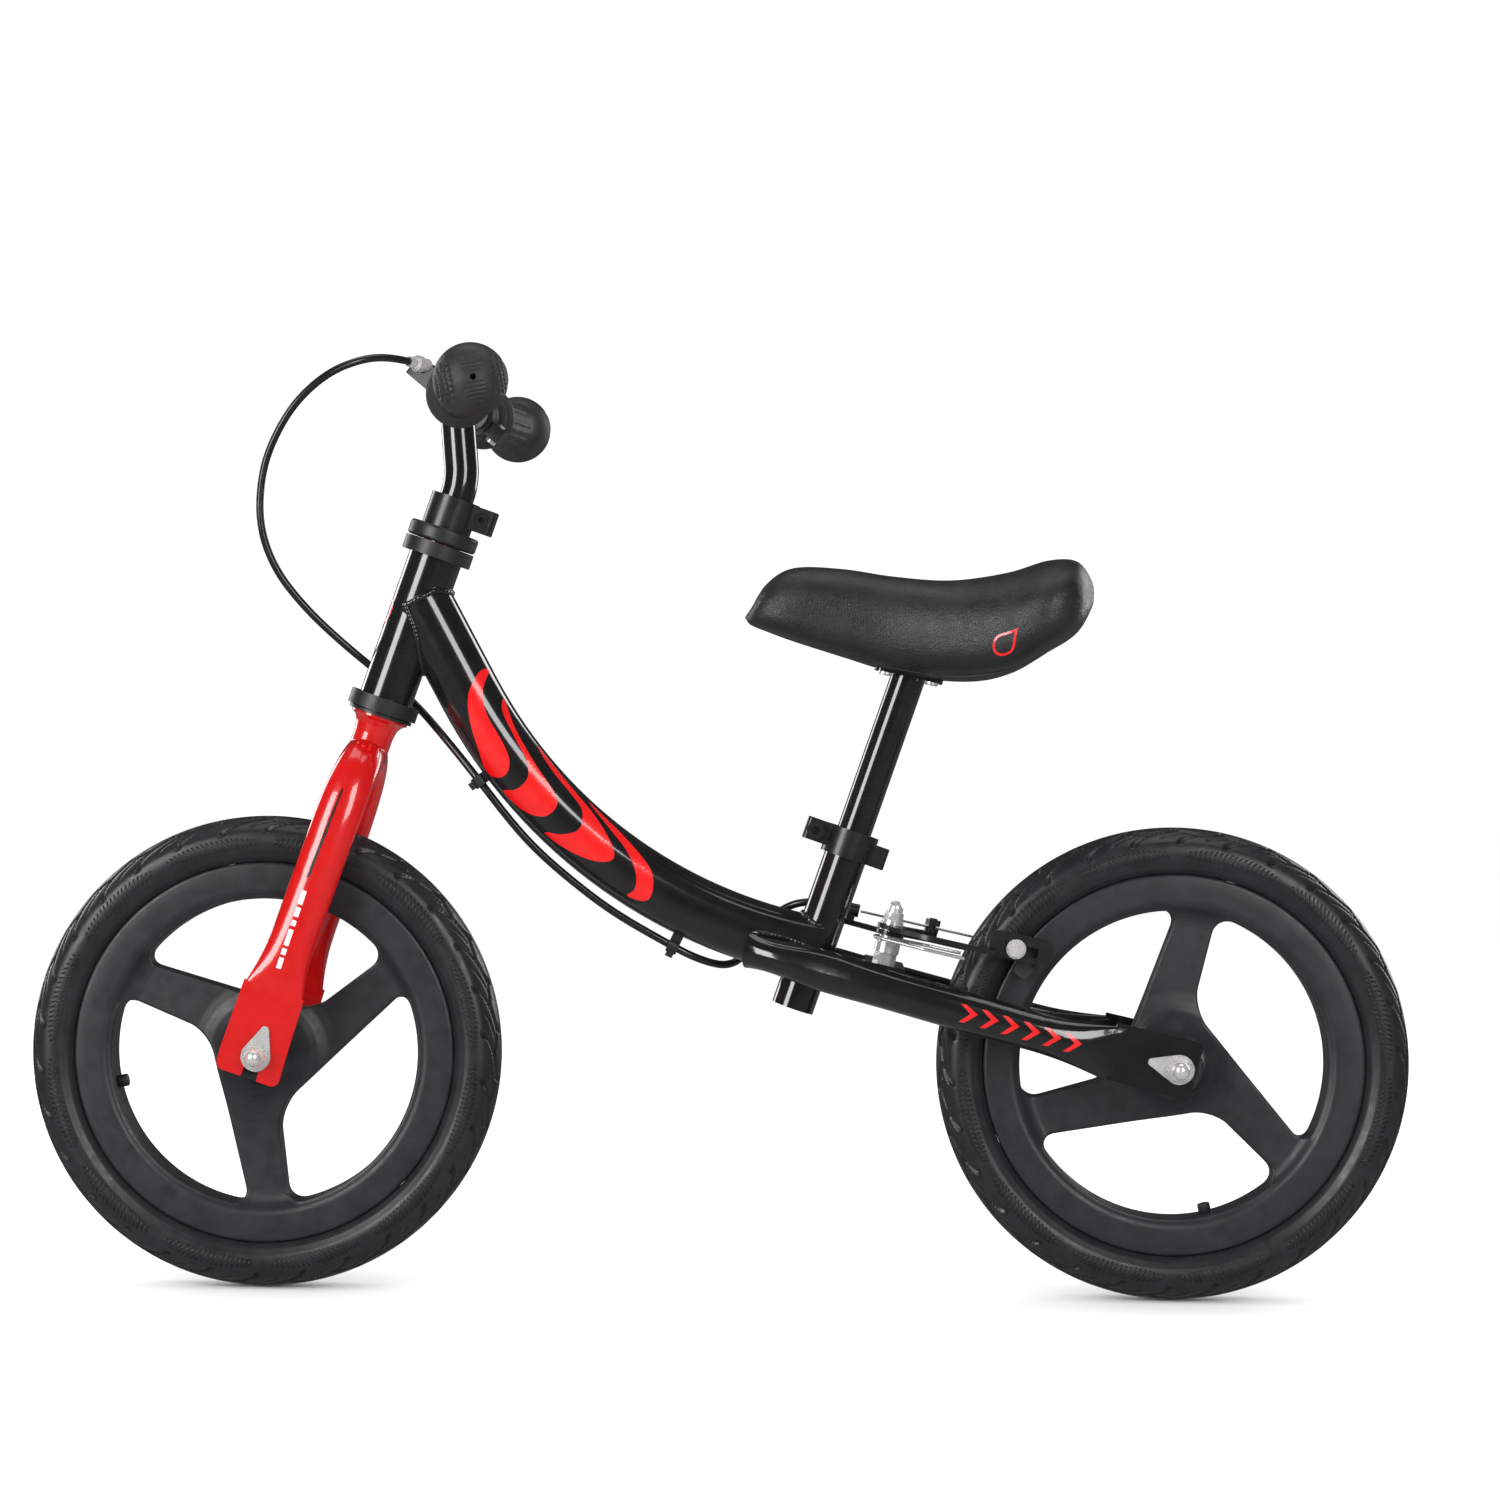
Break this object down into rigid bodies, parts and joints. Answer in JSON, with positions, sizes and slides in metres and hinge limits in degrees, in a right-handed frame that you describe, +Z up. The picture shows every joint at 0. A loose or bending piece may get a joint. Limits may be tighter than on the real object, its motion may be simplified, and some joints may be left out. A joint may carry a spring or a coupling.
{
  "type": "balance bike",
  "caption": "Child's balance bike with a swept steel frame, spoked wheels, height-adjustable handlebar and padded saddle, and a hand-operated rear rim brake.",
  "frame": {"origin": "on the ground, midway between the two wheel axles", "axes": "+X to the rear wheel (the bike faces -X), -Y to the rider's left, +Z up"},
  "size_m": [0.877, 0.389, 0.6009],
  "materials": {
    "frame_paint": "gloss",
    "fork_paint": "gloss",
    "rim_plastic": "satin",
    "tyre_foam": "matte",
    "headset_plastic": "matte",
    "bright_steel": "polished",
    "bearing_steel": "satin",
    "black_steel": "satin",
    "bar_paint": "satin",
    "grip_rubber": "matte",
    "cable_housing": "satin",
    "inner_cable": "satin",
    "pad_rubber": "matte",
    "saddle_cover": "satin",
    "saddle_plastic": "matte",
    "guide_plastic": "satin"
  },
  "bodies": {
    "frame": {"head_tube": "frame_paint", "main_tube": "frame_paint", "seat_tube": "frame_paint", "left_chainstay": "frame_paint", "right_chainstay": "frame_paint", "brake_bridge": "frame_paint", "upper_headset_cup": "headset_plastic", "lower_headset_cup": "headset_plastic", "headset_bearings": "bearing_steel", "seat_clamp": "black_steel", "seat_clamp_bolt": "black_steel", "rear_axle": "bright_steel", "rear_axle_nuts": "bright_steel", "rear_tab_washers": "bright_steel", "rear_axle_locknuts": "bright_steel", "caliper_pivot_bolt": "bright_steel", "caliper_spacers": "bright_steel", "caliper_spring": "bright_steel", "frame_cable_housing": "cable_housing", "cable_guides": "guide_plastic"},
    "fork": {"steerer_tube": "fork_paint", "left_fork_blade": "fork_paint", "right_fork_blade": "fork_paint", "crown_race": "headset_plastic", "headset_locknut": "headset_plastic", "handlebar_clamp": "black_steel", "handlebar_clamp_bolt": "black_steel", "front_axle": "bright_steel", "front_axle_nuts": "bright_steel", "front_tab_washers": "bright_steel", "front_axle_locknuts": "bright_steel", "lower_cable_loop": "cable_housing"},
    "front_wheel": {"front_rim": "rim_plastic", "front_tyre": "tyre_foam", "front_wheel_bearings": "bearing_steel"},
    "rear_wheel": {"rear_rim": "rim_plastic", "rear_tyre": "tyre_foam", "rear_wheel_bearings": "bearing_steel"},
    "handlebar": {"handlebar_stem": "frame_paint", "handlebar_crossbar": "bar_paint", "left_grip": "grip_rubber", "right_grip": "grip_rubber", "brake_perch": "black_steel", "perch_screw": "bright_steel", "barrel_adjuster": "bright_steel", "lever_pivot_pin": "bright_steel", "upper_cable_loop": "cable_housing"},
    "brake_lever": {"brake_lever": "black_steel"},
    "seat": {"seat_post": "frame_paint", "saddle_pan": "saddle_plastic", "saddle_pad": "saddle_cover", "saddle_screws": "bright_steel"},
    "left_caliper": {"left_caliper_arm": "black_steel", "left_brake_pad": "pad_rubber", "left_pad_bolt": "bright_steel", "cable_anchor_bolt": "black_steel", "inner_wire": "inner_cable"},
    "right_caliper": {"right_caliper_arm": "black_steel", "right_brake_pad": "pad_rubber", "right_pad_bolt": "bright_steel"}
  },
  "joints": [
    {"name": "steering", "type": "hinge", "parent": "frame", "child": "fork", "pos_m": [-0.2154, 0, 0.3758], "axis": [0.3206, 0, 0.9472], "range_deg": [-45, 45], "deforming": ["lower_cable_loop"]},
    {"name": "handlebar_height", "type": "slide", "parent": "fork", "child": "handlebar", "axis": [0.3206, 0, 0.9472], "range_m": [0, 0.08], "deforming": ["upper_cable_loop"]},
    {"name": "seat_height", "type": "slide", "parent": "frame", "child": "seat", "axis": [0.319, 0, 0.9478], "range_m": [-0.1, 0]},
    {"name": "front_wheel_spin", "type": "hinge", "parent": "fork", "child": "front_wheel", "pos_m": [-0.2885, 0, 0.15], "axis": [0, 1, 0], "continuous": true},
    {"name": "rear_wheel_spin", "type": "hinge", "parent": "frame", "child": "rear_wheel", "pos_m": [0.2885, 0, 0.15], "axis": [0, 1, 0], "continuous": true},
    {"name": "brake_lever_pull", "type": "hinge", "parent": "handlebar", "child": "brake_lever", "pos_m": [-0.19001, 0.067, 0.58331], "axis": [-0.6259, 0.1047, -0.7729], "range_deg": [0, 15], "stiffness_Nm_per_rad": 0.3, "springref_deg": -20.05},
    {"name": "left_caliper_close", "type": "hinge", "parent": "frame", "child": "left_caliper", "pos_m": [0.1045, 0, 0.212], "axis": [0.2079, 0, 0.9781], "range_deg": [0, 0.8], "deforming": ["inner_wire"]},
    {"name": "right_caliper_close", "type": "hinge", "parent": "frame", "child": "right_caliper", "pos_m": [0.1045, 0, 0.212], "axis": [0.2079, 0, 0.9781], "range_deg": [-0.8, 0]}
  ],
  "couplings": [
    {"joint": "left_caliper_close", "follows": "brake_lever_pull", "ratio": 0.052},
    {"joint": "right_caliper_close", "follows": "brake_lever_pull", "ratio": -0.052}
  ]
}
